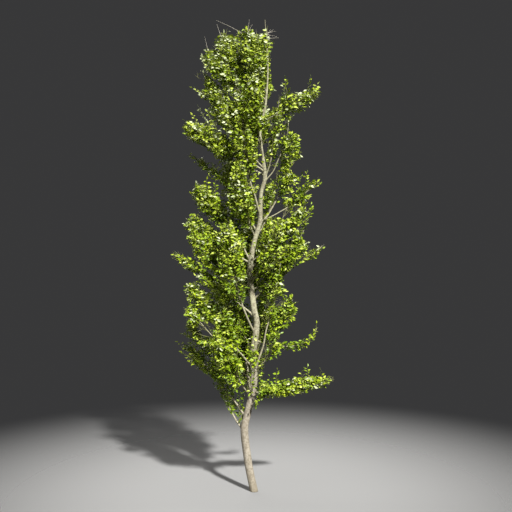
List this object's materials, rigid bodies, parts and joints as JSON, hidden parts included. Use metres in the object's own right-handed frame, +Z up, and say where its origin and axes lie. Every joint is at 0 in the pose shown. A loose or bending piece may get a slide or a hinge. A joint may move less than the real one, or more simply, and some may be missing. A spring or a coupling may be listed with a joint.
{
  "type": "poplar tree",
  "caption": "Young narrow poplar rooted in level ground: a sinuous tapering trunk with a flat foot, ascending boughs and separate leafy masses up to a bare leader.",
  "frame": {"origin": "middle of the flat cut under the trunk, at ground level", "axes": "+Z up along the trunk's general line, +X to the right of the usual view, +Y to its back"},
  "size_m": [3.048, 2.1708, 9],
  "materials": {
    "bark": "dry, finely mottled pale grey-buff bark",
    "foliage": "satin yellow-green leaves on thin pale twigs"
  },
  "bodies": {
    "root": {"bough_centre_riser": "bark", "bough_front_left_riser": "bark", "bough_left_lower": "bark", "bough_left_middle": "bark", "bough_left_shoulder": "bark", "bough_low_back_left": "bark", "bough_low_front_left": "bark", "bough_low_left": "bark", "bough_right_long": "bark", "bough_right_plume": "bark", "bough_right_riser": "bark", "foliage_back_left_lower": "foliage", "foliage_back_left_middle": "foliage", "foliage_back_middle": "foliage", "foliage_back_right_lower": "foliage", "foliage_back_right_middle": "foliage", "foliage_back_upper": "foliage", "foliage_centre_riser": "foliage", "foliage_front_left_middle": "foliage", "foliage_front_left_riser": "foliage", "foliage_front_right": "foliage", "foliage_front_upper": "foliage", "foliage_left_feather": "foliage", "foliage_left_inner_wing": "foliage", "foliage_left_lower": "foliage", "foliage_left_middle": "foliage", "foliage_left_shoulder": "foliage", "foliage_left_thin": "foliage", "foliage_left_tip": "foliage", "foliage_left_upper": "foliage", "foliage_left_upper_shoulder": "foliage", "foliage_left_wing": "foliage", "foliage_left_wing_low": "foliage", "foliage_low_back": "foliage", "foliage_low_back_left": "foliage", "foliage_low_far_left": "foliage", "foliage_low_front": "foliage", "foliage_low_front_left": "foliage", "foliage_low_left": "foliage", "foliage_low_right": "foliage", "foliage_low_small": "foliage", "foliage_right_arm": "foliage", "foliage_right_drooping": "foliage", "foliage_right_inner": "foliage", "foliage_right_inner_riser": "foliage", "foliage_right_inner_upper": "foliage", "foliage_right_long": "foliage", "foliage_right_lower": "foliage", "foliage_right_plume": "foliage", "foliage_right_riser": "foliage", "foliage_right_short": "foliage", "foliage_right_shoulder": "foliage", "foliage_right_spray": "foliage", "foliage_right_tip": "foliage", "foliage_top_back": "foliage", "foliage_top_front": "foliage", "foliage_top_leader": "foliage", "foliage_top_left": "foliage", "foliage_top_middle_left": "foliage", "trunk": "bark"}
  },
  "joints": []
}
